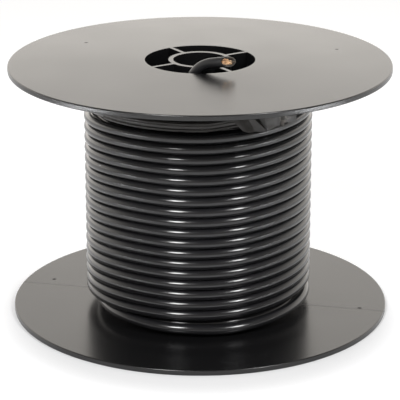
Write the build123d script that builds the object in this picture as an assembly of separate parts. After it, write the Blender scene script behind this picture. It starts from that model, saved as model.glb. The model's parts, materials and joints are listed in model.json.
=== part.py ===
from build123d import *
import math
import os

# A one-piece moulded cable reel, standing on its lower flange and wound with single-core stranded cable.
# Origin: on the floor, at the middle of the lower flange. +Z runs up the reel's axis. Millimetres.
# The four chambers between the hub's ribs are centred on +X, +Y, -X and -Y.

# Reel
flange_diameter = 200.0
rim_height = 134.0
flange_thickness = 2.85
flange_edge_chamfer = 0.6
upper_flange_dish = 1.3
barrel_bore_diameter = 57.5
barrel_wall = 2.5
hub_bore_diameter = 28.0
hub_wall = 2.5
rib_count = 4
rib_thickness = 2.0
first_rib_angle = 45.0

# Cable and its winding
cable_diameter = 5.4
conductor_diameter = 3.8
conductor_clearance = 0.05
conductor_length = 7.5
winding_diameter = 120.0
winding_clearance = 0.3
lower_gap_to_flange = 7.2
lower_gap_width = 1.95
upper_gap_to_flange = 17.4
upper_gap_width = 1.85
gap_depth = 4.2

# Passage through the barrel's wall for the inner end of the cable
passage_width = 8.0
passage_length = 30.0
passage_depth = 66.0
passage_offset = 1.6

# Inner cable end, chosen along the real cable's run: x and y from the axis, with the height over the middle of the
# passage where it comes in, and over the hub's top where it goes out
tail_entry_points = [
    (1.9, -34.6, -4.6),
    (1.7, -26.3, 8.0),
]
tail_exit_points = [
    (1.3, -22.7, -30.0),
    (1.6, -22.2, -14.0),
    (1.0, -21.9, -6.0),
    (2.7, -22.1, -0.8),
    (7.4, -23.0, 3.85),
    (15.6, -25.7, 5.75),
    (23.8, -26.0, 7.1),
]
tail_radius_share = 0.45
tail_wall_clearance = 0.1
tail_cut_normal = (0.55, -0.75, 0.36)
tail_cut_margin = 0.3

# Crumpled tape that holds the outer cable end, as a folded strip: share of the fold depth and angle of each fold
tape_thickness = 0.6
tape_fold_depth = 4.0
tape_folds = [(0.0, -66.0), (0.55, -57.0), (0.1, -49.5), (0.9, -44.5), (0.15, -35.0), (0.0, -25.0)]
tape_height = 11.0
tape_gap_to_flange = 8.6
tape_edge_angle = 45.0

# Worked out from the sizes above
flange_radius = flange_diameter / 2
chamber_radius = barrel_bore_diameter / 2
barrel_radius = chamber_radius + barrel_wall
bore_radius = hub_bore_diameter / 2
hub_radius = bore_radius + hub_wall
hub_height = rim_height + upper_flange_dish
winding_bottom = flange_thickness
upper_flange_underside = rim_height - flange_thickness
winding_radius = winding_diameter / 2
winding_bore_radius = barrel_radius + winding_clearance


def make_flanged_barrel():
    """Both flanges and the barrel between them. The upper flange rises evenly from its rim to the barrel."""
    outline = Polyline(
        (chamber_radius, 0, 0),
        (flange_radius, 0, 0),
        (flange_radius, 0, flange_thickness),
        (barrel_radius, 0, flange_thickness),
        (barrel_radius, 0, hub_height - flange_thickness),
        (flange_radius, 0, upper_flange_underside),
        (flange_radius, 0, rim_height),
        (barrel_radius, 0, hub_height),
        (chamber_radius, 0, hub_height),
        close=True,
    )
    face = make_face(outline)
    rim_corners = face.vertices().group_by(Axis.X)[-1]
    return revolve(chamfer(rim_corners, flange_edge_chamfer), Axis.Z)


def make_hub():
    """Hub tube with its through bore, and the ribs that carry it inside the barrel."""
    hub = Cylinder(hub_radius, hub_height, align=(Align.CENTER, Align.CENTER, Align.MIN))
    for number in range(rib_count):
        angle = first_rib_angle + number * 360 / rib_count
        length = (barrel_radius + chamber_radius) / 2
        rib = Box(length, rib_thickness, hub_height, align=(Align.MIN, Align.CENTER, Align.MIN))
        hub += Rot(0, 0, angle) * rib
    return hub - Cylinder(bore_radius, hub_height, align=(Align.CENTER, Align.CENTER, Align.MIN))


def make_passage():
    """Slot through the barrel's wall in the front chamber, with round ends."""
    slot = SlotOverall(passage_length, passage_width)
    lying = Plane(origin=(passage_offset, -chamber_radius + barrel_wall, hub_height - passage_depth),
                  x_dir=(0, 0, 1), z_dir=(0, -1, 0))
    return extrude(lying * slot, 3 * barrel_wall)


def make_reel():
    reel = make_flanged_barrel() + make_hub()
    return reel - make_passage()


def make_winding():
    """Wound cable as one turned solid. Its turns lie side by side and make one face, apart from two wide gaps, in
    which the layer below shows."""
    top = upper_flange_underside - winding_clearance
    floor_radius = winding_radius - gap_depth
    lower_gap_bottom = winding_bottom + lower_gap_to_flange
    upper_gap_bottom = upper_flange_underside - upper_gap_to_flange - upper_gap_width
    points = [(winding_bore_radius, winding_bottom), (winding_radius, winding_bottom)]
    for bottom, width in ((lower_gap_bottom, lower_gap_width), (upper_gap_bottom, upper_gap_width)):
        points.append((winding_radius, bottom))
        points.append((floor_radius, bottom))
        points.append((floor_radius, bottom + width))
        points.append((winding_radius, bottom + width))
    points += [(winding_radius, top), (winding_bore_radius, top)]
    outline = Polyline(*[(r, 0, z) for r, z in points], close=True)
    return revolve(make_face(outline), Axis.Z)


def tail_path():
    """Straight runs joined by tangent arcs, each arc as large as its two runs allow."""
    corners = [Vector(x, y, hub_height - passage_depth + z) for x, y, z in tail_entry_points]
    corners += [Vector(x, y, hub_height + z) for x, y, z in tail_exit_points]
    radii = []
    for before, corner, after in zip(corners, corners[1:], corners[2:]):
        run_in = corner - before
        run_out = after - corner
        half_turn = math.radians(run_in.get_angle(run_out)) / 2
        shorter = min(run_in.length, run_out.length)
        radii.append(tail_radius_share * shorter / math.tan(half_turn))
    print("tail radii", [round(radius, 1) for radius in radii])
    return FilletPolyline(*corners, radius=radii)


def swept_round(path, diameter):
    """Round bar along a path."""
    section = Plane(origin=path @ 0, z_dir=path % 0) * Circle(diameter / 2)
    return sweep(section, path)


def make_tail():
    """Sheath and conductor of the inner cable end, trimmed at the winding's bore and by the slanting cut."""
    path = tail_path()
    whole = swept_round(path, cable_diameter)
    print("tail length", round(path.length, 2), "volume share",
          round(whole.volume / (math.pi * cable_diameter ** 2 / 4 * path.length), 4))
    conductor_start = 1 - conductor_length / path.length
    inner_end = path.trim(conductor_start, 1)
    lumen = swept_round(inner_end, conductor_diameter + 2 * conductor_clearance)
    conductor = swept_round(inner_end, conductor_diameter)
    grounded = (Align.CENTER, Align.CENTER, Align.MIN)
    wound = Cylinder(winding_radius, upper_flange_underside, align=grounded)
    wound -= Cylinder(winding_bore_radius - tail_wall_clearance, upper_flange_underside, align=grounded)
    slant = math.radians((path % 1).get_angle(Vector(tail_cut_normal)))
    reach = cable_diameter / 2 * math.tan(slant) + tail_cut_margin
    cut = Plane(origin=(path @ 1) - (path % 1) * reach, z_dir=tail_cut_normal)
    print("tail cut at", cut.origin)
    return split(whole - lumen - wound, cut, Keep.BOTTOM), split(conductor, cut, Keep.BOTTOM)


def make_tape():
    """Folded strip against the winding's upper turns. Its lower left corner is cut off on a slant."""
    angles = [angle for share, angle in tape_folds]
    widest = max(after - before for before, after in zip(angles, angles[1:]))
    clear_radius = winding_radius + winding_clearance + tape_thickness / 2
    lowest_radius = clear_radius / math.cos(math.radians(widest / 2))
    folds = []
    for share, angle in tape_folds:
        turn = math.radians(angle)
        radius = lowest_radius + share * tape_fold_depth
        folds.append((radius * math.cos(turn), radius * math.sin(turn)))
    strip = trace(Polyline(*folds), tape_thickness)
    middle_height = upper_flange_underside - tape_gap_to_flange - tape_height / 2
    sheet = extrude(Pos(0, 0, middle_height) * strip, tape_height / 2, both=True)
    turn = math.radians(angles[1])
    slope = math.radians(tape_edge_angle)
    along = Vector(-math.sin(turn), math.cos(turn), 0)
    edge = Plane(origin=(*folds[1], middle_height - tape_height / 2),
                 z_dir=along * math.cos(slope) + Vector(0, 0, math.sin(slope)))
    return split(sheet, edge, Keep.TOP)


sheath, conductor = make_tail()
nodes = {
    "reel": make_reel(),
    "cable_winding": make_winding(),
    "cable_tail": sheath,
    "copper_conductor": conductor,
    "tape_scrap": make_tape(),
}
os.makedirs("parts", exist_ok=True)
for name, shape in nodes.items():
    solids = shape.solids()
    export_step(solids[0] if len(solids) == 1 else Compound(solids), f"parts/{name}.step")
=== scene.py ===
import json
import math
import random

import bmesh
import bpy
from bpy.props import FloatProperty, FloatVectorProperty, IntProperty, PointerProperty
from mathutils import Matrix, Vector


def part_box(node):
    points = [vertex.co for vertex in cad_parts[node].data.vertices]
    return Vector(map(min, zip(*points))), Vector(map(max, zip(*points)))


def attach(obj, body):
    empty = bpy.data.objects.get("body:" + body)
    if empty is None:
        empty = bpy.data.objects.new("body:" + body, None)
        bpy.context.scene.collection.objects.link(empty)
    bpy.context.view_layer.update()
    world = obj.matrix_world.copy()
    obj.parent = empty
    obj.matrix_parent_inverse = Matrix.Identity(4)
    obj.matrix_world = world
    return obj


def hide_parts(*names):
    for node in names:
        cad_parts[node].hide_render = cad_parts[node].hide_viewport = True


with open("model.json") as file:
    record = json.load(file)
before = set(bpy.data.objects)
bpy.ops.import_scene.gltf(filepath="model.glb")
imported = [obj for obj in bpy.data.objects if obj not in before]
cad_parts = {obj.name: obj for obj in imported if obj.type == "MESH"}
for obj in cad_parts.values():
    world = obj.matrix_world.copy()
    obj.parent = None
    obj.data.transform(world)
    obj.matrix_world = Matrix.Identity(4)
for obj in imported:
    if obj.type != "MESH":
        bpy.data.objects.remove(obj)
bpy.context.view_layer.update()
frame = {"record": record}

bl_info = {
    "name": "Wound Cable Reel",
    "version": (1, 0, 0),
    "blender": (4, 5, 0),
    "location": "3D View > Sidebar > Cable Reel",
    "description": "Dresses a moulded reel with its wound cable, the cable's free end and the tape on it",
    "category": "Object",
}

MM = 0.001

# How finely round things are drawn: sides of a section, and points in one turn of the wound cable
RIM_SIDES = 256
HUB_SIDES = 128
FLOOR_SIDES = 128
PASSAGE_SIDES = 32
OUTER_LAYER_SIDES = 20
INNER_LAYER_SIDES = 12
CABLE_END_SIDES = 28
STRAND_SIDES = 8
OUTER_TURN_POINTS = 96
INNER_TURN_POINTS = 72

# Segments of a rounded edge: at the flanges' rims, and elsewhere on the reel
RIM_SEGMENTS = 4
EDGE_SEGMENTS = 2

# Largest angle between faces that is shaded smooth, and the smallest one that is rounded
SMOOTH_MOULDING = math.radians(35)
SMOOTH_CABLE = math.radians(50)
SMOOTH_FILM = math.radians(25)
ROUNDED_EDGE = math.radians(50)
LARGE_FACE_WEIGHT = 80

# How near corners and faces have to be: to one another to be merged, the two ends of a level edge in height,
# to a ring, to the axis or barrel, to a slot's middle height, and to the start of a route
MERGED = 0.0005 * MM
LEVEL_EDGE = 0.01 * MM
ON_RING = 0.05 * MM
ON_AXIS = 1.0 * MM
OFF_MIDDLE = 0.1 * MM
AT_START = 0.5 * MM

# Height part of a normal: more in a level face, less in an upright one
LEVEL_NORMAL = 0.9
UPRIGHT_NORMAL = 0.1

# What a noise texture's values nearly all lie between
NOISE_LOW = 0.3
NOISE_HIGH = 0.7


def polar(radius, angle, height):
    return Vector((radius * math.cos(angle), radius * math.sin(angle), height))


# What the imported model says: metres, origin on the floor in the middle of the lower flange, +Z up
_, REEL_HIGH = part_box("reel")
WINDING_LOW, WINDING_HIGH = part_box("cable_winding")
TAPE_LOW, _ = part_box("tape_scrap")
SPINDLE_BORE = next(mount for mount in frame["record"]["mounts"] if mount["name"] == "spindle_bore")
BORE_RADIUS = SPINDLE_BORE["dims"]["r_mm"] * MM

# Small dark marks on the flanges: x and y in millimetres, and on which flange
FLANGE_MARKS = [
    (-68.1, 23.9, "upper"),
    (65.9, 39.1, "upper"),
    (-84.4, 7.5, "lower"),
    (86.8, 1.6, "lower"),
]
# The height of the lower marks' middles, and the height below which the parting line shows
LOWER_MARKS = 3 * MM
PARTING_TOP = REEL_HIGH.z - 3 * MM

# The inner cable end's route, millimetres: x and y from the axis, with the height over the middle of the
# passage where it comes in, and over the hub's top where it goes out
TAIL_ENTRY_POINTS = [
    (1.9, -34.6, -4.6),
    (1.7, -26.3, 8.0),
]
TAIL_EXIT_POINTS = [
    (1.3, -22.7, -30.0),
    (1.6, -22.2, -14.0),
    (-0.2, -21.9, -6.0),
    (2.0, -22.1, -0.8),
    (7.4, -23.0, 3.85),
    (15.6, -25.7, 5.75),
    (23.8, -26.0, 7.1),
]
TAIL_CUT_NORMAL = Vector((0.55, -0.75, 0.36)).normalized()
TAIL_CUT_MARGIN = 0.3 * MM
TAIL_ROUTE_STEPS = 16
# Roughness that handling has added to the cable's end
HANDLED_HAZE = 0.2

# Strands of the conductor: how many in each layer from the middle outwards, in how many bunches they are
# cut, and the step between layers in strand diameters
STRAND_LAYERS = [1, 6, 12, 17, 20]
STRAND_BUNCHES = 7
STRAND_SPACING = 1.08
# The strands' cuts: millimetres past the sheath's, slants of a bunch and of a strand, and a lean upwards
STRAND_SETBACK = (-0.9, -0.2)
BUNCH_SLANT = 0.3
STRAND_SLANT = 0.25
STRAND_RISE = Vector((0, 0, 0.15))
STRAND_SEED = 5

# Where the wound cable leaves its even helix: turn number and millimetres above the even height
TURN_LIFTS = [
    (-1.22, 0.2),
    (-1.10, 0.14),
    (-1.00, -1.95),
    (-0.92, -3.1),
    (-0.50, -2.8),
    (-0.20, 0.0),
    (17.35, 0.0),
    (17.65, 1.85),
]
# How the turns sway up and down on their way round: waves in a turn, millimetres, a crest's angle in degrees
TURN_SWAY = [(1, 1.56, -3), (2, 0.30, -97), (3, 0.67, -117), (4, 0.36, -33)]
# How much of that sway there is: turn number and share
SWAY_SHARES = [
    (-1.05, 0.0),
    (-0.95, 1.0),
    (-0.45, 1.0),
    (-0.3, 0.2),
    (-0.15, 0.3),
    (0.0, 1.0),
    (13.0, 1.0),
    (17.0, 0.7),
    (19.5, 0.0),
]
FIRST_TURN_ANGLE = math.radians(-87.25)
WINDING_BORE = 31.45 * MM
WINDING_RADIUS = 60.0 * MM
# The cable is wound a little off the reel's axis
WINDING_SHIFT = polar(1.0 * MM, math.radians(192.75), 0)
# Turn numbers between which the cable climbs from the inner layer to the outer one
CLIMB_START = -1.22
CLIMB_END = -1.07
# Turns before the climb: where the inner layer's last turn is level, and where it rises to the climb
LEVEL_BEFORE_CLIMB = 0.88
RISE_BEFORE_CLIMB = 0.3
# Turn number at which the two layers' pieces meet, and how far they go into each other
LAYER_JOINT = CLIMB_START - 1
JOINT_OVERLAP = 0.02
# The plain core under the inner layer: its bore, and its gap to the winding's ends
CORE_BORE_RADIUS = 33.5 * MM
CORE_END_GAP = 0.3 * MM

# The camera's sensor width in millimetres, the floor's radius in metres, and the drop that keeps the floor's
# face apart from the reel's
SENSOR_WIDTH = 36
FLOOR_RADIUS = 6
FLOOR_DROP = 0.02 * MM

# The tilted lamps that light the reel: name, degrees to the right of the camera, width in metres
LAMPS = [
    ("left_lamp", -23.5, 0.26),
    ("right_lamp", 41.5, 0.20),
]

# Lamps that light the floor beside the reel, and the direction of each
FLOOR_LAMPS = [("left_floor_lamp", -66), ("right_floor_lamp", 66)]

# Creases of the tape from left to right, at its hem and at its top: angle round the axis in degrees,
# millimetres over the lower edge of the solid that it stands for, and stand-off from the cable
TAPE_CREASES = [
    ((-60.6, 7.0, 0.3), (-60.0, 8.4, 0.3)),
    ((-56.7, 2.3, 2.2), (-58.8, 8.9, 0.8)),
    ((-54.2, 1.2, 3.2), (-56.5, 9.0, 0.9)),
    ((-50.2, 1.3, 2.6), (-54.5, 9.0, 0.9)),
    ((-44.9, 0.5, 4.2), (-51.8, 8.6, 2.4)),
    ((-45.0, 0.8, 3.7), (-48.6, 8.7, 0.2)),
    ((-44.7, 0.9, 3.8), (-46.0, 8.8, 2.6)),
    ((-39.5, 1.7, 2.4), (-40.0, 8.9, 2.0)),
    ((-34.6, 1.6, 1.2), (-35.0, 8.3, 1.6)),
    ((-33.8, 0.4, 2.4), (-33.6, 7.3, 2.6)),
    ((-32.8, 1.8, 0.6), (-32.6, 6.4, 0.6)),
    ((-29.5, 1.6, 0.5), (-29.8, 6.5, 0.4)),
    ((-25.2, 1.2, 2.2), (-25.2, 4.6, 2.6)),
]

# The band of tape round the third turn from the top: millimetres over the same edge, and stand-off
BAND_PROFILE = [
    (1.9, -0.9),
    (2.4, 0.15),
    (3.1, 0.5),
    (3.9, 0.1),
    (4.9, 0.45),
    (5.7, 0.25),
    (6.3, 0.6),
    (7.1, 0.2),
    (7.6, -0.8),
]
# Where the band starts and ends, and where it rises: degrees round the axis, and millimetres
BAND_START = -130.0
BAND_END = -53.0
BAND_RISE = [(-76.0, 0.0), (-58.0, 1.6)]

# The film: columns of the flaps from crease to crease and their rows, columns of the band and its rows from
# point to point of the profile, the small creases' size, and how far the flaps' last column goes
FLAP_COLUMNS = 5
FLAP_ROWS = 8
BAND_COLUMNS = 96
BAND_ROWS = 4
SMALL_CREASES = 2.5 * MM
LAST_COLUMN_SHARE = 0.999


def linear(hex_colour):
    """Linear RGBA of an sRGB hex colour."""
    channels = [int(hex_colour[i:i + 2], 16) / 255 for i in (1, 3, 5)]
    return (*[c / 12.92 if c <= 0.04045 else ((c + 0.055) / 1.055) ** 2.4 for c in channels], 1.0)


def eased(stations, place):
    """Value at a place, eased between the stations (place, value) on each side of it."""
    if place <= stations[0][0]:
        return stations[0][1]
    for (start, low), (end, high) in zip(stations, stations[1:]):
        if place <= end:
            share = (place - start) / (end - start)
            return low + (high - low) * share * share * (3 - 2 * share)
    return stations[-1][1]


# What every short length and every colour among the settings has
LENGTH = {"unit": "LENGTH", "precision": 5}
COLOUR = {"subtype": "COLOR", "size": 4, "min": 0, "max": 1}


class MouldedReelSettings(bpy.types.PropertyGroup):
    """Sizes and colour of the moulded reel"""
    flange_thickness: FloatProperty(
        name="Flange thickness", description="Thickness of both flanges at the rim",
        default=2.85 * MM, **LENGTH)
    flange_dish: FloatProperty(
        name="Upper flange dish", description="How far the upper flange's middle stands over its rim",
        default=1.3 * MM, **LENGTH)
    rim_rounding: FloatProperty(
        name="Rim rounding", description="Radius of the flanges' outer edges", default=0.6 * MM, **LENGTH)
    edge_rounding: FloatProperty(
        name="Edge rounding", description="Radius of the hub's, ribs' and chambers' edges",
        default=0.38 * MM, **LENGTH)
    chamber_radius: FloatProperty(
        name="Chamber radius", description="Inner radius of the barrel", default=28.75 * MM, **LENGTH)
    barrel_wall: FloatProperty(
        name="Barrel wall", description="Wall of the barrel", default=2.5 * MM, **LENGTH)
    hub_wall: FloatProperty(
        name="Hub wall", description="Wall of the hub tube", default=2.5 * MM, **LENGTH)
    rib_thickness: FloatProperty(
        name="Rib thickness", description="Thickness of the ribs between the hub and the barrel",
        default=2.0 * MM, **LENGTH)
    rib_count: IntProperty(
        name="Ribs", description="Number of ribs, evenly spaced", default=4)
    first_rib_angle: FloatProperty(
        name="First rib", description="Direction of the first rib",
        default=math.radians(45), unit="ROTATION")
    passage_width: FloatProperty(
        name="Passage width", description="Width of the slot that lets the cable through the barrel's wall",
        default=8 * MM, **LENGTH)
    passage_length: FloatProperty(
        name="Passage length", description="Length of that slot along the axis",
        default=30 * MM, **LENGTH)
    passage_depth: FloatProperty(
        name="Passage depth", description="Depth of the slot's middle below the hub's top",
        default=66 * MM, **LENGTH)
    passage_offset: FloatProperty(
        name="Passage offset", description="Sideways place of the slot", default=1.6 * MM, **LENGTH)
    colour: FloatVectorProperty(
        name="Plastic", description="Colour of the moulded plastic", **COLOUR, default=linear("#101011"))


class WoundCableSettings(bpy.types.PropertyGroup):
    """Sizes and colour of the wound cable"""
    diameter: FloatProperty(
        name="Cable diameter", description="Outer diameter of the sheath", default=5.4 * MM, **LENGTH)
    pitch: FloatProperty(
        name="Pitch", description="Rise of one turn", default=5.55 * MM, **LENGTH)
    first_height: FloatProperty(
        name="First turn", description="Height of the first even turn's middle at its start",
        default=14.75 * MM, **LENGTH)
    last_turn: FloatProperty(
        name="Last turn", description="Turn number at which the cable ends under the tape", default=20.12)
    layer_step: FloatProperty(
        name="Layer step", description="Distance from the inner layer's turns to the outer layer's",
        default=5.4 * MM, **LENGTH)
    inner_height: FloatProperty(
        name="Inner layer's foot", description="Height of the inner layer's lowest turn",
        default=8 * MM, **LENGTH)
    colour: FloatVectorProperty(
        name="Sheath", description="Colour of the cable's sheath", **COLOUR, default=linear("#1B1B1D"))


class CableEndSettings(bpy.types.PropertyGroup):
    """Sizes and colour of the free cable end"""
    lumen: FloatProperty(
        name="Lumen", description="Inner diameter of the sheath", default=3.9 * MM, **LENGTH)
    strand: FloatProperty(
        name="Strand", description="Diameter of one strand",
        default=0.385 * MM, unit="LENGTH", precision=6)
    bare_length: FloatProperty(
        name="Strand length", description="Length of the strands that is modelled",
        default=9 * MM, **LENGTH)
    lay: FloatProperty(
        name="Lay", description="Length in which a bunch of strands turns once",
        default=48 * MM, **LENGTH)
    colour: FloatVectorProperty(
        name="Copper", description="Colour of the strands", **COLOUR, default=linear("#FBE3C8"))


class TapeSettings(bpy.types.PropertyGroup):
    """Sizes and colour of the crumpled tape"""
    film: FloatProperty(
        name="Film", description="Thickness of the film", default=0.12 * MM, unit="LENGTH", precision=6)
    crumple: FloatProperty(
        name="Crumple", description="Height of the film's small creases",
        default=0.35 * MM, unit="LENGTH", precision=6)
    colour: FloatVectorProperty(
        name="Film colour", description="Colour of the tape", **COLOUR, default=linear("#272421"))


class StudioSettings(bpy.types.PropertyGroup):
    """The camera, the lamps and the floor"""
    camera_place: FloatVectorProperty(
        name="Camera", description="Where the camera stands", subtype="TRANSLATION", size=3,
        default=(0.21340, -0.96703, 0.39565))
    camera_turn: FloatVectorProperty(
        name="Camera's turn", description="Which way the camera looks", subtype="EULER", size=3,
        default=(math.radians(71.167), 0, math.radians(12.446)))
    lens: FloatProperty(
        name="Lens", description="Focal length of the camera on a sensor 36 mm wide", default=176.69)
    front: FloatProperty(
        name="Front", description="Direction from the reel to the camera",
        default=math.radians(-77.25), unit="ROTATION")
    lamp_distance: FloatProperty(
        name="Lamp distance", description="From the reel's axis to both lamps, level",
        default=1.1, unit="LENGTH")
    lamp_centre: FloatProperty(
        name="Lamp centre", description="Height of the lamps' middle", default=0.98, unit="LENGTH")
    lamp_height: FloatProperty(
        name="Lamp height", description="From the lower to the upper edge of the lamps",
        default=0.6, unit="LENGTH")
    lamp_radiance: FloatProperty(
        name="Lamp brightness", description="Brightness of the lamps' surface, where 1 is white",
        default=3.9)
    lamp_spread: FloatProperty(
        name="Lamp spread", description="Angle into which the lamps shine",
        default=math.radians(70), unit="ROTATION")
    floor_lamp_distance: FloatProperty(
        name="Floor lamp distance", description="From the reel's axis to the lamps over the floor",
        default=0.6, unit="LENGTH")
    floor_lamp_height: FloatProperty(
        name="Floor lamp height", description="Height of the lamps over the floor",
        default=0.45, unit="LENGTH")
    floor_lamp_size: FloatProperty(
        name="Floor lamp size", description="Diameter of the lamps over the floor",
        default=0.2, unit="LENGTH")
    floor_lamp_spread: FloatProperty(
        name="Floor lamp spread", description="Angle into which the lamps over the floor shine",
        default=math.radians(50), unit="ROTATION")
    floor_lamp_radiance: FloatProperty(
        name="Floor lamp brightness", description="Brightness of their surface, where 1 is white",
        default=36.0)
    floor_lift: FloatProperty(
        name="Floor lift", description="White added to the floor where it is seen, away from the reel",
        default=0.55)
    white: FloatVectorProperty(
        name="Floor", description="Colour of the floor", **COLOUR, default=linear("#D6D7D9"))


def add_node(tree, kind, inputs=None, **settings):
    """Adds a node with its own settings. Inputs maps a socket to a value, to another node's output, or to a
    node, for its first output."""
    node = tree.nodes.new(kind)
    for name, value in settings.items():
        setattr(node, name, value)
    for socket, value in (inputs or {}).items():
        if isinstance(value, bpy.types.Node):
            value = value.outputs[0]
        if isinstance(value, bpy.types.NodeSocket):
            tree.links.new(value, node.inputs[socket])
        else:
            node.inputs[socket].default_value = value
    return node


def new_material(name):
    """An empty node material, its tree and the place on the piece."""
    material = bpy.data.materials.new(name)
    material.use_nodes = True
    tree = material.node_tree
    tree.nodes.clear()
    return material, tree, add_node(tree, "ShaderNodeTexCoord").outputs["Object"]


def moulded_polystyrene(colour):
    """High-impact polystyrene from a polished mould: black and dense, so that it shows the room as a soft
    mirror at a flat angle, with a satin haze, a faint flow mottle, a few small dull marks, which look dark,
    and a fine line where the mould parts."""
    mottle_size = 40 * MM
    grain_size = 0.7 * MM
    grain_depth = 0.012 * MM
    satin_low, satin_high = 0.23, 0.26
    line_core, line_edge = 0.3 * MM, 1.3 * MM
    line_dullness = 0.1
    mark_core, mark_edge = 0.6 * MM, 1.5 * MM
    mark_dullness = 0.45
    material, tree, place = new_material("moulded_polystyrene")
    mottle = add_node(tree, "ShaderNodeTexNoise", {"Vector": place, "Scale": 1 / mottle_size, "Detail": 1.0})
    grain = add_node(tree, "ShaderNodeTexNoise", {"Vector": place, "Scale": 1 / grain_size, "Detail": 2.0})
    gloss = add_node(tree, "ShaderNodeMapRange", {
        "Value": mottle, "From Min": NOISE_LOW, "From Max": NOISE_HIGH,
        "To Min": satin_low, "To Max": satin_high})
    axes = add_node(tree, "ShaderNodeSeparateXYZ", {0: place}).outputs
    aside = add_node(tree, "ShaderNodeMath", {0: axes["Y"]}, operation="ABSOLUTE")
    parting = add_node(tree, "ShaderNodeMapRange", {
        "Value": aside, "From Min": line_core, "From Max": line_edge, "To Min": 1.0, "To Max": 0.0})
    under = add_node(tree, "ShaderNodeMath", {0: axes["Z"], 1: PARTING_TOP}, operation="LESS_THAN")
    parting = add_node(tree, "ShaderNodeMath", {0: parting, 1: under}, operation="MULTIPLY")
    marks = None
    for x, y, flange in FLANGE_MARKS:
        middle = (x * MM, y * MM, REEL_HIGH.z if flange == "upper" else LOWER_MARKS)
        off = add_node(tree, "ShaderNodeVectorMath", {0: place, 1: middle}, operation="DISTANCE")
        spot = add_node(tree, "ShaderNodeMapRange", {
            "Value": off.outputs["Value"], "From Min": mark_core, "From Max": mark_edge,
            "To Min": 1.0, "To Max": 0.0})
        if marks:
            spot = add_node(tree, "ShaderNodeMath", {0: marks, 1: spot}, operation="MAXIMUM")
        marks = spot
    rough = gloss
    for dulled, dullness in ((marks, mark_dullness), (parting, line_dullness)):
        rough = add_node(tree, "ShaderNodeMath", {0: dulled, 1: dullness, 2: rough}, operation="MULTIPLY_ADD")
    bump = add_node(tree, "ShaderNodeBump", {"Height": grain, "Strength": 0.12, "Distance": grain_depth})
    shader = add_node(tree, "ShaderNodeBsdfPrincipled", {
        "Base Color": colour, "Roughness": rough, "IOR": 1.59, "Normal": bump})
    add_node(tree, "ShaderNodeOutputMaterial", {"Surface": shader})
    return material


def extruded_pvc(colour, haze=0.0, cut=None):
    """Soft PVC sheath, extruded: smooth and faintly waxy, with long soft highlights. Haze dulls it where it
    was handled, and its cut, given by a place, is matt and paler."""
    mottle_size = 6 * MM
    mottle_depth = 0.05 * MM
    waxy_low, waxy_high = 0.14, 0.19
    cut_reach = 0.05 * MM
    cut_dullness = 0.4
    material, tree, place = new_material("extruded_pvc")
    mottle = add_node(tree, "ShaderNodeTexNoise", {"Vector": place, "Scale": 1 / mottle_size, "Detail": 3.0})
    gloss = add_node(tree, "ShaderNodeMapRange", {
        "Value": mottle, "From Min": NOISE_LOW, "From Max": NOISE_HIGH,
        "To Min": waxy_low + haze, "To Max": waxy_high + haze})
    bump = add_node(tree, "ShaderNodeBump", {"Height": mottle, "Strength": 0.2, "Distance": mottle_depth})
    tint = colour
    if cut:
        from_cut = add_node(tree, "ShaderNodeVectorMath", {0: place, 1: cut}, operation="SUBTRACT")
        ahead = add_node(tree, "ShaderNodeVectorMath", {0: from_cut, 1: TAIL_CUT_NORMAL},
                         operation="DOT_PRODUCT")
        on_plane = add_node(tree, "ShaderNodeMath", {0: ahead.outputs["Value"], 1: -cut_reach},
                            operation="GREATER_THAN")
        tint = add_node(tree, "ShaderNodeMix", {
            "Factor": on_plane, "A": colour, "B": linear("#45413C")}, data_type="RGBA").outputs["Result"]
        gloss = add_node(tree, "ShaderNodeMath", {0: on_plane, 1: cut_dullness, 2: gloss},
                         operation="MULTIPLY_ADD")
    shader = add_node(tree, "ShaderNodeBsdfPrincipled", {
        "Base Color": tint, "Roughness": gloss, "IOR": 1.54, "Normal": bump})
    add_node(tree, "ShaderNodeOutputMaterial", {"Surface": shader})
    return material


def bunched_copper(colour):
    """Bare drawn copper: bright and warm, with a slight tarnish that differs from strand to strand."""
    tarnish_size = 0.6 * MM
    material, tree, place = new_material("bunched_copper")
    tarnish = add_node(tree, "ShaderNodeTexNoise", {
        "Vector": place, "Scale": 1 / tarnish_size, "Detail": 2.0})
    tint = add_node(tree, "ShaderNodeMix", {"Factor": tarnish, "A": linear("#D3A06A"), "B": colour},
                    data_type="RGBA")
    shader = add_node(tree, "ShaderNodeBsdfPrincipled", {
        "Base Color": tint.outputs["Result"], "Metallic": 1.0, "Roughness": 0.28})
    add_node(tree, "ShaderNodeOutputMaterial", {"Surface": shader})
    return material


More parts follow.
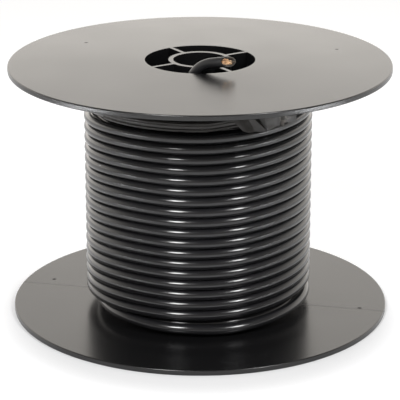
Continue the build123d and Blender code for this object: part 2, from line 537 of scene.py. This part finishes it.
def tape_film(colour):
    """Crumpled packing tape: dark grey and dull, with painted shade in its creases' hollows and a painted
    highlight on some folds.
    """
    crease_size = 3 * MM
    crease_depth = 0.3 * MM
    fold_size = 4 * MM
    fold_glint, flat_glint, fold_width = 0.6, 0.1, 0.15
    glint_spot = polar(WINDING_RADIUS + 2 * MM, math.radians(-33), TAPE_LOW.z + 5 * MM)
    glint_core, glint_edge = 2 * MM, 5.5 * MM
    material, tree, place = new_material("tape_film")
    crease_and_shade = add_node(tree, "ShaderNodeTexNoise", {"Vector": place, "Scale": 1 / crease_size, "Detail": 4.0})
    # Painted shade: the film is darker where this noise is low, in the hollows of the bump that it also
    # drives.
    tint = add_node(tree, "ShaderNodeMix", {"Factor": crease_and_shade, "A": linear("#131211"), "B": colour},
                    data_type="RGBA")
    # Painted highlight: near one spot of the crumpled end the film is paled along its folds, as a glint would
    # light it.
    folds = add_node(tree, "ShaderNodeTexVoronoi", {"Vector": place, "Scale": 1 / fold_size},
                     feature="DISTANCE_TO_EDGE")
    painted_glint = add_node(tree, "ShaderNodeMapRange", {
        "Value": folds, "From Min": 0.0, "From Max": fold_width,
        "To Min": fold_glint, "To Max": flat_glint})
    off = add_node(tree, "ShaderNodeVectorMath", {0: place, 1: glint_spot}, operation="DISTANCE")
    near = add_node(tree, "ShaderNodeMapRange", {
        "Value": off.outputs["Value"], "From Min": glint_core, "From Max": glint_edge,
        "To Min": 1.0, "To Max": 0.0})
    painted_glint = add_node(tree, "ShaderNodeMath", {0: painted_glint, 1: near}, operation="MULTIPLY")
    tint = add_node(tree, "ShaderNodeMix", {
        "Factor": painted_glint, "A": tint.outputs["Result"], "B": linear("#8C867C")}, data_type="RGBA")
    bump = add_node(tree, "ShaderNodeBump", {"Height": crease_and_shade, "Strength": 0.6, "Distance": crease_depth})
    shader = add_node(tree, "ShaderNodeBsdfPrincipled", {
        "Base Color": tint.outputs["Result"], "Roughness": 0.33, "IOR": 1.5, "Normal": bump})
    add_node(tree, "ShaderNodeOutputMaterial", {"Surface": shader})
    return material


def studio_floor(colour, lift, front):
    """Matt white floor. What is seen of it, straight or mirrored, is lifted to white away from the reel's
    foot; its light on things isn't.
    Near the foot the lift is smaller, which paints a shadow round the reel; the lift's middle lies a little
    in front of the reel, so that painted shadow is wider in front."""
    middle = polar(20 * MM, front, 0)
    foot, free = REEL_HIGH.x - 12 * MM, REEL_HIGH.x + 22 * MM
    lift_in_painted_shadow = lift / 3.4
    material, tree, place = new_material("studio_floor")
    rays = add_node(tree, "ShaderNodeLightPath").outputs
    seen = add_node(tree, "ShaderNodeMath", {0: rays["Is Camera Ray"], 1: rays["Is Glossy Ray"]},
                    operation="MAXIMUM")
    seen = add_node(tree, "ShaderNodeMath", {0: seen, 1: rays["Is Transmission Ray"]}, operation="MAXIMUM")
    # Painted shadow: the lift falls off towards the reel's foot, darkening the floor there.
    away = add_node(tree, "ShaderNodeVectorMath", {0: place, 1: middle}, operation="DISTANCE")
    painted_shadow_lift = add_node(tree, "ShaderNodeMapRange", {
        "Value": away.outputs["Value"], "From Min": foot, "From Max": free,
        "To Min": lift_in_painted_shadow, "To Max": lift}, interpolation_type="SMOOTHSTEP")
    strength = add_node(tree, "ShaderNodeMath", {0: seen, 1: painted_shadow_lift}, operation="MULTIPLY")
    matt = add_node(tree, "ShaderNodeBsdfDiffuse", {"Color": colour})
    glow = add_node(tree, "ShaderNodeEmission", {"Strength": strength})
    shader = add_node(tree, "ShaderNodeAddShader", {0: matt, 1: glow})
    add_node(tree, "ShaderNodeOutputMaterial", {"Surface": shader})
    return material


def take(piece):
    """Selects a piece alone and makes it the active one."""
    bpy.ops.object.select_all(action="DESELECT")
    piece.select_set(True)
    bpy.context.view_layer.objects.active = piece


def edit(piece):
    """Opens a piece in edit mode with nothing selected."""
    if bpy.context.object and bpy.context.object.mode != "OBJECT":
        bpy.ops.object.mode_set(mode="OBJECT")
    take(piece)
    bpy.ops.object.mode_set(mode="EDIT")
    bpy.ops.mesh.select_all(action="DESELECT")


def pick(kind, test):
    """Selects what passes a test: faces by their middle and normal, or vertices by their place."""
    bpy.ops.mesh.select_mode(type=kind)
    bpy.ops.mesh.select_all(action="DESELECT")
    mesh = bpy.context.edit_object.data
    shape = bmesh.from_edit_mesh(mesh)
    if kind == "FACE":
        for face in shape.faces:
            face.select_set(test(face.calc_center_median(), face.normal))
    else:
        for corner in shape.verts:
            corner.select_set(test(corner.co))
        shape.select_flush_mode()
    bmesh.update_edit_mesh(mesh)


def close():
    """Merges doubles, turns the normals outwards and leaves edit mode."""
    bpy.ops.mesh.select_all(action="SELECT")
    bpy.ops.mesh.remove_doubles(threshold=MERGED)
    bpy.ops.mesh.normals_make_consistent(inside=False)
    bpy.ops.object.mode_set(mode="OBJECT")


def apply_modifier(piece, kind, **settings):
    """Adds a modifier with its settings and applies it."""
    take(piece)
    modifier = piece.modifiers.new(kind.lower(), kind)
    for name, value in settings.items():
        setattr(modifier, name, value)
    bpy.ops.object.modifier_apply(modifier=modifier.name)


def apply_place(piece):
    """Moves a piece's place into its mesh."""
    take(piece)
    bpy.ops.object.transform_apply(location=True, rotation=True, scale=True)


def smooth(piece):
    """Smooth shading, with the large faces left flat beside their rounded edges."""
    take(piece)
    bpy.ops.object.shade_smooth_by_angle(angle=SMOOTH_MOULDING)
    apply_modifier(piece, "WEIGHTED_NORMAL", weight=LARGE_FACE_WEIGHT, keep_sharp=True)


def start_piece(name, add_primitive, **settings):
    """Adds a primitive, alone selected, under a piece's name."""
    bpy.ops.object.select_all(action="DESELECT")
    add_primitive(**settings)
    piece = bpy.context.object
    piece.name = name
    piece.data.name = name
    return piece


def round_bar(name, radius, bottom, top, sides):
    """Upright round bar on the axis."""
    piece = start_piece(name, bpy.ops.mesh.primitive_cylinder_add, vertices=sides, radius=radius,
                        depth=top - bottom, location=(0, 0, (top + bottom) / 2))
    apply_place(piece)
    return piece


def is_end(middle, normal):
    """Whether a face is one of a round bar's two ends."""
    return abs(normal.z) > LEVEL_NORMAL and middle.xy.length < ON_AXIS


def bore_out(piece, wall):
    """Insets both end faces of a round bar by its wall and joins them by a bore."""
    edit(piece)
    pick("FACE", is_end)
    bpy.ops.mesh.inset(thickness=wall)
    bpy.ops.mesh.bridge_edge_loops()
    close()


def join_solids(piece, other, operation="UNION"):
    """Unites two closed shapes, or takes the second from the first."""
    apply_modifier(piece, "BOOLEAN", object=other, operation=operation, solver="EXACT")
    bpy.data.objects.remove(other)


def dress(piece, material, slot, *nodes):
    """Gives a piece its material, hides the CAD nodes that it stands for and attaches it to the root body.
    The slot is not used.
    """
    piece.data.materials.clear()
    piece.data.materials.append(material)
    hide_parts(*nodes)
    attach(piece, "root")


def shape_flanges(s, rim_height):
    """Both flanges and the barrel, drawn from one round bar: its waist is pushed in to the barrel, its ends
    are inset and joined by the chamber, and the upper flange is lifted towards the middle."""
    rim = REEL_HIGH.x
    barrel = s.chamber_radius + s.barrel_wall
    thickness = s.flange_thickness
    reel = round_bar("reel_moulding", rim, 0, rim_height, RIM_SIDES)
    edit(reel)
    for height in (thickness, rim_height - thickness):
        bpy.ops.mesh.select_all(action="SELECT")
        bpy.ops.mesh.bisect(plane_co=(0, 0, height), plane_no=(0, 0, 1))
    pick("FACE", lambda middle, normal: (
        abs(normal.z) < UPRIGHT_NORMAL and thickness < middle.z < rim_height - thickness))
    bpy.ops.mesh.extrude_region_move()
    bpy.ops.transform.resize(value=(barrel / rim, barrel / rim, 1), center_override=(0, 0, 0))
    pick("FACE", is_end)
    bpy.ops.mesh.inset(thickness=rim - barrel)
    pick("VERT", lambda corner: corner.xy.length < barrel + ON_AXIS and corner.z > rim_height / 2)
    bpy.ops.transform.translate(value=(0, 0, s.flange_dish))
    pick("FACE", is_end)
    bpy.ops.mesh.inset(thickness=s.barrel_wall)
    bpy.ops.mesh.bridge_edge_loops()
    bevel_rings(rim, s.rim_rounding)
    close()
    return reel


def bevel_rings(radius, width):
    """Rounds the level rings of edges at a radius."""
    mesh = bpy.context.edit_object.data
    bpy.ops.mesh.select_mode(type="EDGE")
    bpy.ops.mesh.select_all(action="DESELECT")
    shape = bmesh.from_edit_mesh(mesh)
    for line in shape.edges:
        first, second = (corner.co for corner in line.verts)
        level = abs(first.z - second.z) < LEVEL_EDGE
        at_radius = max(abs(first.xy.length - radius), abs(second.xy.length - radius)) < ON_RING
        line.select_set(level and at_radius)
    bmesh.update_edit_mesh(mesh)
    bpy.ops.mesh.bevel(offset=width, segments=RIM_SEGMENTS, affect="EDGES", profile=0.5)


def make_rib(s, angle, height):
    """One rib, from inside the hub's wall to inside the barrel's."""
    start = BORE_RADIUS + s.hub_wall / 2
    end = s.chamber_radius + s.barrel_wall / 2
    rib = start_piece("rib", bpy.ops.mesh.primitive_cube_add, size=1,
                      location=((start + end) / 2, 0, height / 2))
    rib.scale = (end - start, s.rib_thickness, height)
    apply_place(rib)
    rib.rotation_euler.z = angle
    apply_place(rib)
    return rib


def make_passage(s, height):
    """Cutter for the slot through the barrel's front wall: a round bar, stretched along the axis."""
    middle = height - s.passage_depth
    cutter = start_piece("passage", bpy.ops.mesh.primitive_cylinder_add, vertices=PASSAGE_SIDES,
                         radius=s.passage_width / 2, depth=4 * s.barrel_wall,
                         location=(s.passage_offset, -s.chamber_radius - s.barrel_wall / 2, middle),
                         rotation=(math.pi / 2, 0, 0))
    apply_place(cutter)
    stretch = (s.passage_length - s.passage_width) / 2
    edit(cutter)
    for side in (1, -1):
        pick("VERT", lambda corner: (corner.z - middle) * side > OFF_MIDDLE)
        bpy.ops.transform.translate(value=(0, 0, side * stretch))
    close()
    return cutter


class REEL_OT_mould_reel(bpy.types.Operator):
    """Moulds the reel: flanges, barrel, hub and ribs in one piece"""
    bl_idname = "cable_reel.mould_reel"
    bl_label = "Mould the reel"

    def execute(self, context):
        s = context.scene.moulded_reel
        height = REEL_HIGH.z
        reel = shape_flanges(s, height - s.flange_dish)
        hub = round_bar("hub", BORE_RADIUS + s.hub_wall, 0, height, HUB_SIDES)
        bore_out(hub, s.hub_wall)
        for number in range(s.rib_count):
            angle = s.first_rib_angle + number * math.tau / s.rib_count
            join_solids(hub, make_rib(s, angle, height))
        join_solids(reel, hub)
        join_solids(reel, make_passage(s, height), "DIFFERENCE")
        apply_modifier(reel, "BEVEL", width=s.edge_rounding, segments=EDGE_SEGMENTS, limit_method="ANGLE",
                       angle_limit=ROUNDED_EDGE, use_clamp_overlap=True)
        smooth(reel)
        dress(reel, moulded_polystyrene(s.colour), "reel_plastic", "reel")
        return {"FINISHED"}


def open_line(name, kind, points):
    """A curve of one open line, and that line."""
    curve = bpy.data.curves.new(name, "CURVE")
    curve.dimensions = "3D"
    line = curve.splines.new(kind)
    line.points.add(len(points) - 1)
    for point, place in zip(line.points, points):
        point.co = (*place, 1)
    return curve, line


def cable_along(name, points, radius, sides, twist="Z_UP"):
    """A round cable along points, with an even number of sides, as a mesh with closed ends."""
    curve, _ = open_line(name, "POLY", points)
    curve.twist_mode = twist
    curve.bevel_depth = radius
    curve.bevel_resolution = (sides - 4) // 2
    curve.use_fill_caps = True
    piece = bpy.data.objects.new(name, curve)
    bpy.context.scene.collection.objects.link(piece)
    take(piece)
    bpy.ops.object.convert(target="MESH")
    edit(piece)
    close()
    bpy.ops.object.shade_smooth_by_angle(angle=SMOOTH_CABLE)
    return piece


def turn_place(s, turn):
    """Where the wound cable's middle is at a turn number, in the outer layer and in the one below it."""
    outer = WINDING_RADIUS - s.diameter / 2
    inner = outer - s.layer_step
    climb = eased([(CLIMB_START, 0), (CLIMB_END, 1)], turn)
    angle = FIRST_TURN_ANGLE + math.tau * turn
    sway = 0.0
    for waves, size, crest in TURN_SWAY:
        sway += size * math.cos(waves * (angle - math.radians(crest)))
    lift = (eased(TURN_LIFTS, turn) + sway * eased(SWAY_SHARES, turn)) * MM
    height = s.first_height + s.pitch * max(turn, CLIMB_START) + lift
    if turn < CLIMB_START:
        foot = CLIMB_START - LEVEL_BEFORE_CLIMB
        height = s.inner_height + max(0, foot - turn) * s.pitch
        blend = eased([(CLIMB_START - RISE_BEFORE_CLIMB, 0), (CLIMB_START, 1)], turn)
        height += blend * (s.first_height + s.pitch * CLIMB_START + lift - s.inner_height)
    return WINDING_SHIFT + polar(inner + (outer - inner) * climb, angle, height)


class REEL_OT_wind_cable(bpy.types.Operator):
    """Winds the cable: a plain core, the turns of the inner layer and the turns of the outer one"""
    bl_idname = "cable_reel.wind_cable"
    bl_label = "Wind the cable"

    def execute(self, context):
        s = context.scene.wound_cable
        sheath = extruded_pvc(s.colour)
        inner = WINDING_RADIUS - s.diameter / 2 - s.layer_step
        core = round_bar("winding_core", inner, WINDING_LOW.z + CORE_END_GAP, WINDING_HIGH.z - CORE_END_GAP,
                         HUB_SIDES)
        bore_out(core, inner - CORE_BORE_RADIUS)
        smooth(core)
        dress(core, sheath, "cable_sheath", "cable_winding")

        turns = s.last_turn - LAYER_JOINT
        count = round(turns * OUTER_TURN_POINTS)
        places = [turn_place(s, LAYER_JOINT + turns * i / count) for i in range(count + 1)]
        outer_layer = cable_along("winding_outer_layer", places, s.diameter / 2, OUTER_LAYER_SIDES)
        dress(outer_layer, sheath, "cable_sheath", "cable_winding")

        top = WINDING_HIGH.z - s.diameter / 2
        turns = (top - s.inner_height) / s.pitch
        count = round(turns * INNER_TURN_POINTS)
        start = LAYER_JOINT + JOINT_OVERLAP
        places = [turn_place(s, start - turns * i / count) for i in range(count + 1)]
        places = [place for place in places if place.z <= top]
        inner_layer = cable_along("winding_inner_layer", places, s.diameter / 2, INNER_LAYER_SIDES)
        dress(inner_layer, sheath, "cable_sheath", "cable_winding")
        return {"FINISHED"}


def nurbs_route(points):
    """Smooth line along a route: a spline with the route's points as its control points."""
    curve, line = open_line("tail_route", "NURBS", points)
    line.order_u = 3
    line.use_endpoint_u = True
    line.resolution_u = TAIL_ROUTE_STEPS
    holder = bpy.data.objects.new("tail_route", curve)
    mesh = bpy.data.meshes.new_from_object(holder)
    places = [corner.co.copy() for corner in mesh.vertices]
    bpy.data.meshes.remove(mesh)
    bpy.data.objects.remove(holder)
    bpy.data.curves.remove(curve)
    return places


def cut_off(piece, place, normal, fill):
    """Cuts away what lies past a plane."""
    edit(piece)
    bpy.ops.mesh.select_all(action="SELECT")
    bpy.ops.mesh.bisect(plane_co=place, plane_no=normal, clear_outer=True, use_fill=fill)


class REEL_OT_lay_cable_end(bpy.types.Operator):
    """Lays the free cable end: the sheath with its slanting cut, and the copper strands in it"""
    bl_idname = "cable_reel.lay_cable_end"
    bl_label = "Lay the cable end"

    def execute(self, context):
        s = context.scene.cable_end
        cable = context.scene.wound_cable
        hub_top = REEL_HIGH.z
        passage = hub_top - context.scene.moulded_reel.passage_depth
        corners = [Vector((x * MM, y * MM, passage + z * MM)) for x, y, z in TAIL_ENTRY_POINTS]
        corners += [Vector((x * MM, y * MM, hub_top + z * MM)) for x, y, z in TAIL_EXIT_POINTS]
        route = nurbs_route(corners)
        while route[0].xy.length > WINDING_BORE:
            route.pop(0)
        forward = (route[-1] - route[-2]).normalized()
        reach = cable.diameter / 2 * math.tan(forward.angle(TAIL_CUT_NORMAL)) + TAIL_CUT_MARGIN
        cut_place = route[-1] - forward * reach

        sheath = cable_along("tail_sheath", route, cable.diameter / 2, CABLE_END_SIDES, "MINIMUM")
        cut_off(sheath, cut_place, TAIL_CUT_NORMAL, False)
        pick("FACE", lambda middle, normal: (middle - route[0]).length < AT_START)
        bpy.ops.mesh.delete(type="FACE")
        close()
        make_pipe(sheath, (cable.diameter - s.lumen) / 2)
        pvc = extruded_pvc(cable.colour, HANDLED_HAZE, cut_place)
        dress(sheath, pvc, "cable_sheath", "cable_tail")

        strands = make_strands(s, route, cut_place)
        dress(strands, bunched_copper(s.colour), "copper", "copper_conductor")
        return {"FINISHED"}


def make_pipe(sheath, wall):
    """Gives the sheath its wall: an inner skin, joined to the outer one at both ends."""
    apply_modifier(sheath, "SOLIDIFY", thickness=wall, offset=-1, use_rim=True)
    bpy.ops.object.shade_smooth_by_angle(angle=SMOOTH_CABLE)


def random_slant(chance, most):
    return Vector([chance.uniform(-most, most) for _ in range(3)])


def make_strands(s, route, cut_place):
    """Twisted strands along the route's end, each cut on its bunch's slant and a slight one of its own."""
    chance = random.Random(STRAND_SEED)
    end = [place for place in route if (place - route[-1]).length < s.bare_length]
    frames = []
    side = Vector((0, 0, 1))
    for index, place in enumerate(end):
        ahead = end[min(index + 1, len(end) - 1)] - end[max(index - 1, 0)]
        ahead.normalize()
        side = (side - ahead * side.dot(ahead)).normalized()
        frames.append((place, side.copy(), ahead.cross(side)))
    bunch_slants = [random_slant(chance, BUNCH_SLANT) for _ in range(STRAND_BUNCHES)]
    strands = []
    for layer, count in enumerate(STRAND_LAYERS):
        for number in range(count):
            share = number / count
            bunch = 0 if layer < 2 else 1 + int(share * (STRAND_BUNCHES - 1))
            distance = layer * s.strand * STRAND_SPACING
            places = []
            travelled = 0.0
            for index, (place, up, across) in enumerate(frames):
                if index:
                    travelled += (place - frames[index - 1][0]).length
                turned = math.tau * (share + travelled / s.lay) + layer
                raised = place + up * distance * math.cos(turned)
                places.append(raised + across * distance * math.sin(turned))
            bar = cable_along(f"strand_{layer}_{number}", places, s.strand / 2, STRAND_SIDES, "MINIMUM")
            own_slant = random_slant(chance, STRAND_SLANT)
            slant = TAIL_CUT_NORMAL + STRAND_RISE + bunch_slants[bunch] + own_slant
            back = chance.uniform(*STRAND_SETBACK) * MM
            cut_off(bar, cut_place + TAIL_CUT_NORMAL * back, slant.normalized(), True)
            close()
            strands.append(bar)
    bpy.ops.object.select_all(action="DESELECT")
    for bar in strands:
        bar.select_set(True)
    bpy.context.view_layer.objects.active = strands[0]
    bpy.ops.object.join()
    bundle = bpy.context.object
    bundle.name = "copper_strands"
    bundle.data.name = "copper_strands"
    return bundle


class REEL_OT_crumple_tape(bpy.types.Operator):
    """Crumples the tape that holds the cable's outer end"""
    bl_idname = "cable_reel.crumple_tape"
    bl_label = "Crumple the tape"

    def execute(self, context):
        s = context.scene.tape_scrap
        film = tape_film(s.colour)
        columns = FLAP_COLUMNS * (len(TAPE_CREASES) - 1)
        flaps = self.film_sheet("crumpled_tape", columns, FLAP_ROWS, self.flap_place)
        creases = bpy.data.textures.new("tape_creases", "CLOUDS")
        creases.noise_scale = SMALL_CREASES
        apply_modifier(flaps, "DISPLACE", texture=creases, strength=s.crumple)
        self.finish_film(flaps, s.film)
        dress(flaps, film, "tape_film", "tape_scrap")

        rows = BAND_ROWS * (len(BAND_PROFILE) - 1)
        band = self.film_sheet("tape_band", BAND_COLUMNS, rows, self.band_place)
        apply_modifier(band, "DISPLACE", texture=creases, strength=s.crumple)
        self.finish_film(band, s.film)
        dress(band, film, "tape_film", "cable_winding")
        return {"FINISHED"}

    def film_sheet(self, name, columns, rows, place):
        """A level grid whose corners are laid by their shares across and up."""
        sheet = start_piece(name, bpy.ops.mesh.primitive_grid_add,
                            x_subdivisions=columns, y_subdivisions=rows, size=1)
        for corner in sheet.data.vertices:
            corner.co = place(corner.co.x + 0.5, corner.co.y + 0.5)
        return sheet

    def flap_place(self, across, up):
        """A point between two creases."""
        last = len(TAPE_CREASES) - 2
        stretch = min(across * (last + 1), last + LAST_COLUMN_SHARE)
        first = int(stretch)
        share = stretch - first
        (low_a, top_a), (low_b, top_b) = TAPE_CREASES[first], TAPE_CREASES[first + 1]
        low = Vector(low_a).lerp(Vector(low_b), share)
        top = Vector(top_a).lerp(Vector(top_b), share)
        degrees, height, stand_off = low.lerp(top, up)
        return self.on_winding(degrees, height, stand_off)

    def band_place(self, across, up):
        """A point of the band, whose lengthwise creases follow its profile."""
        degrees = BAND_START + (BAND_END - BAND_START) * across
        low, high = BAND_PROFILE[0][0], BAND_PROFILE[-1][0]
        height = low + (high - low) * up
        return self.on_winding(degrees, height + eased(BAND_RISE, degrees), eased(BAND_PROFILE, height))

    def on_winding(self, degrees, height, stand_off):
        radius = WINDING_RADIUS + stand_off * MM
        return WINDING_SHIFT + polar(radius, math.radians(degrees), TAPE_LOW.z + height * MM)

    def finish_film(self, sheet, thickness):
        """Gives a sheet of film its thickness and its sharp folds."""
        apply_modifier(sheet, "SOLIDIFY", thickness=thickness, offset=1)
        bpy.ops.object.shade_smooth_by_angle(angle=SMOOTH_FILM)


class REEL_OT_set_studio(bpy.types.Operator):
    """Sets the camera, the floor, the lamps and the surrounding light"""
    bl_idname = "cable_reel.set_studio"
    bl_label = "Set the studio"

    def execute(self, context):
        s = context.scene.studio
        bpy.ops.object.select_all(action="DESELECT")
        bpy.ops.object.camera_add(location=s.camera_place, rotation=s.camera_turn)
        camera = bpy.context.object
        camera.data.lens = s.lens
        camera.data.sensor_width = SENSOR_WIDTH
        context.scene.camera = camera

        floor = start_piece("studio_floor", bpy.ops.mesh.primitive_circle_add, vertices=FLOOR_SIDES,
                            radius=FLOOR_RADIUS, fill_type="NGON", location=(0, 0, -FLOOR_DROP))
        floor.data.materials.append(studio_floor(s.white, s.floor_lift, s.front))

        for name, azimuth, width in LAMPS:
            angle = s.front + math.radians(azimuth)
            tilt = math.atan2(s.lamp_centre - REEL_HIGH.z / 2, s.lamp_distance)
            place = polar(s.lamp_distance, angle, s.lamp_centre)
            turn = (math.pi / 2 - tilt, 0, angle + math.pi / 2)
            lamp = self.hang_lamp(name, place, turn, s.lamp_spread)
            lamp.data.shape = "RECTANGLE"
            lamp.data.size = width
            lamp.data.size_y = s.lamp_height
            lamp.data.energy = s.lamp_radiance * math.pi * width * s.lamp_height
        for name, azimuth in FLOOR_LAMPS:
            place = polar(s.floor_lamp_distance, s.front + math.radians(azimuth), s.floor_lamp_height)
            lamp = self.hang_lamp(name, place, (0, 0, 0), s.floor_lamp_spread)
            lamp.data.shape = "DISK"
            lamp.data.size = s.floor_lamp_size
            lamp.data.energy = s.floor_lamp_radiance * math.pi * math.pi * s.floor_lamp_size ** 2 / 4
            lamp.visible_glossy = False
        surround_with_light(context.scene, s)
        context.scene.view_settings.view_transform = "Standard"
        return {"FINISHED"}

    def hang_lamp(self, name, place, turn, spread):
        """An area lamp that isn't seen itself. Its shape, size and power follow."""
        bpy.ops.object.light_add(type="AREA", location=place, rotation=turn)
        lamp = bpy.context.object
        lamp.name = name
        lamp.data.spread = spread
        lamp.visible_camera = False
        return lamp


def surround_with_light(scene, s):
    """White walls all round, brighter behind the reel than in front of it, and a ceiling that gets dimmer
    towards the top. Seen straight, they are plain white."""
    front_wall, back_wall = 0.35, 1.5
    front_end, back_end = -0.5, 0.6
    ceiling_foot, ceiling_top = 0.1, 0.75
    foot_light, top_light = 1.39, 0.6
    overhead_start, overhead_end = 0.42, 0.72
    overhead_light = 0.45
    world = bpy.data.worlds.new("studio")
    scene.world = world
    world.use_nodes = True
    tree = world.node_tree
    tree.nodes.clear()
    way = add_node(tree, "ShaderNodeTexCoord").outputs["Generated"]
    behind = polar(-1, s.front, 0)
    facing = add_node(tree, "ShaderNodeVectorMath", {0: way, 1: behind}, operation="DOT_PRODUCT")
    walls = add_node(tree, "ShaderNodeMapRange", {
        "Value": facing.outputs["Value"], "From Min": front_end, "From Max": back_end,
        "To Min": front_wall, "To Max": back_wall}, interpolation_type="SMOOTHSTEP")
    height = add_node(tree, "ShaderNodeSeparateXYZ", {0: way}).outputs["Z"]
    ceiling = add_node(tree, "ShaderNodeMapRange", {
        "Value": height, "From Min": ceiling_foot, "From Max": ceiling_top,
        "To Min": foot_light, "To Max": top_light})
    strength = add_node(tree, "ShaderNodeMath", {0: walls, 1: ceiling}, operation="MULTIPLY")
    overhead = add_node(tree, "ShaderNodeMapRange", {
        "Value": height, "From Min": overhead_start, "From Max": overhead_end,
        "To Min": 1.0, "To Max": overhead_light}, interpolation_type="SMOOTHSTEP")
    strength = add_node(tree, "ShaderNodeMath", {0: strength, 1: overhead}, operation="MULTIPLY")
    light = add_node(tree, "ShaderNodeBackground", {"Color": linear("#FFFAF3"), "Strength": strength})
    white = add_node(tree, "ShaderNodeBackground", {"Color": linear("#FFFFFF"), "Strength": 1.0})
    rays = add_node(tree, "ShaderNodeLightPath").outputs
    seen = add_node(tree, "ShaderNodeMath", {0: rays["Is Camera Ray"], 1: rays["Is Transmission Ray"]},
                    operation="MAXIMUM")
    mixed = add_node(tree, "ShaderNodeMixShader", {0: seen, 1: light, 2: white})
    add_node(tree, "ShaderNodeOutputWorld", {"Surface": mixed})


class REEL_PT_panel(bpy.types.Panel):
    """Builds the reel piece by piece"""
    bl_idname = "REEL_PT_panel"
    bl_label = "Cable Reel"
    bl_space_type = "VIEW_3D"
    bl_region_type = "UI"
    bl_category = "Cable Reel"

    def draw(self, context):
        for settings, operator in PIECES:
            box = self.layout.box()
            box.operator(operator.bl_idname)
            group = getattr(context.scene, settings)
            for name in group.bl_rna.properties.keys():
                if name not in ("rna_type", "name"):
                    box.prop(group, name)


GROUPS = {
    "studio": StudioSettings,
    "cable_end": CableEndSettings,
    "moulded_reel": MouldedReelSettings,
    "wound_cable": WoundCableSettings,
    "tape_scrap": TapeSettings,
}
PIECES = [
    ("studio", REEL_OT_set_studio),
    ("cable_end", REEL_OT_lay_cable_end),
    ("moulded_reel", REEL_OT_mould_reel),
    ("wound_cable", REEL_OT_wind_cable),
    ("tape_scrap", REEL_OT_crumple_tape),
]


def register():
    for name, group in GROUPS.items():
        bpy.utils.register_class(group)
        setattr(bpy.types.Scene, name, PointerProperty(type=group))
    for _, operator in PIECES:
        bpy.utils.register_class(operator)
    bpy.utils.register_class(REEL_PT_panel)


def unregister():
    bpy.utils.unregister_class(REEL_PT_panel)
    for _, operator in reversed(PIECES):
        bpy.utils.unregister_class(operator)
    for name, group in GROUPS.items():
        delattr(bpy.types.Scene, name)
        bpy.utils.unregister_class(group)


def main():
    register()
    bpy.ops.cable_reel.set_studio()
    bpy.ops.cable_reel.lay_cable_end()
    bpy.ops.cable_reel.mould_reel()
    bpy.ops.cable_reel.wind_cable()
    bpy.ops.cable_reel.crumple_tape()


if __name__ == "__main__":
    main()
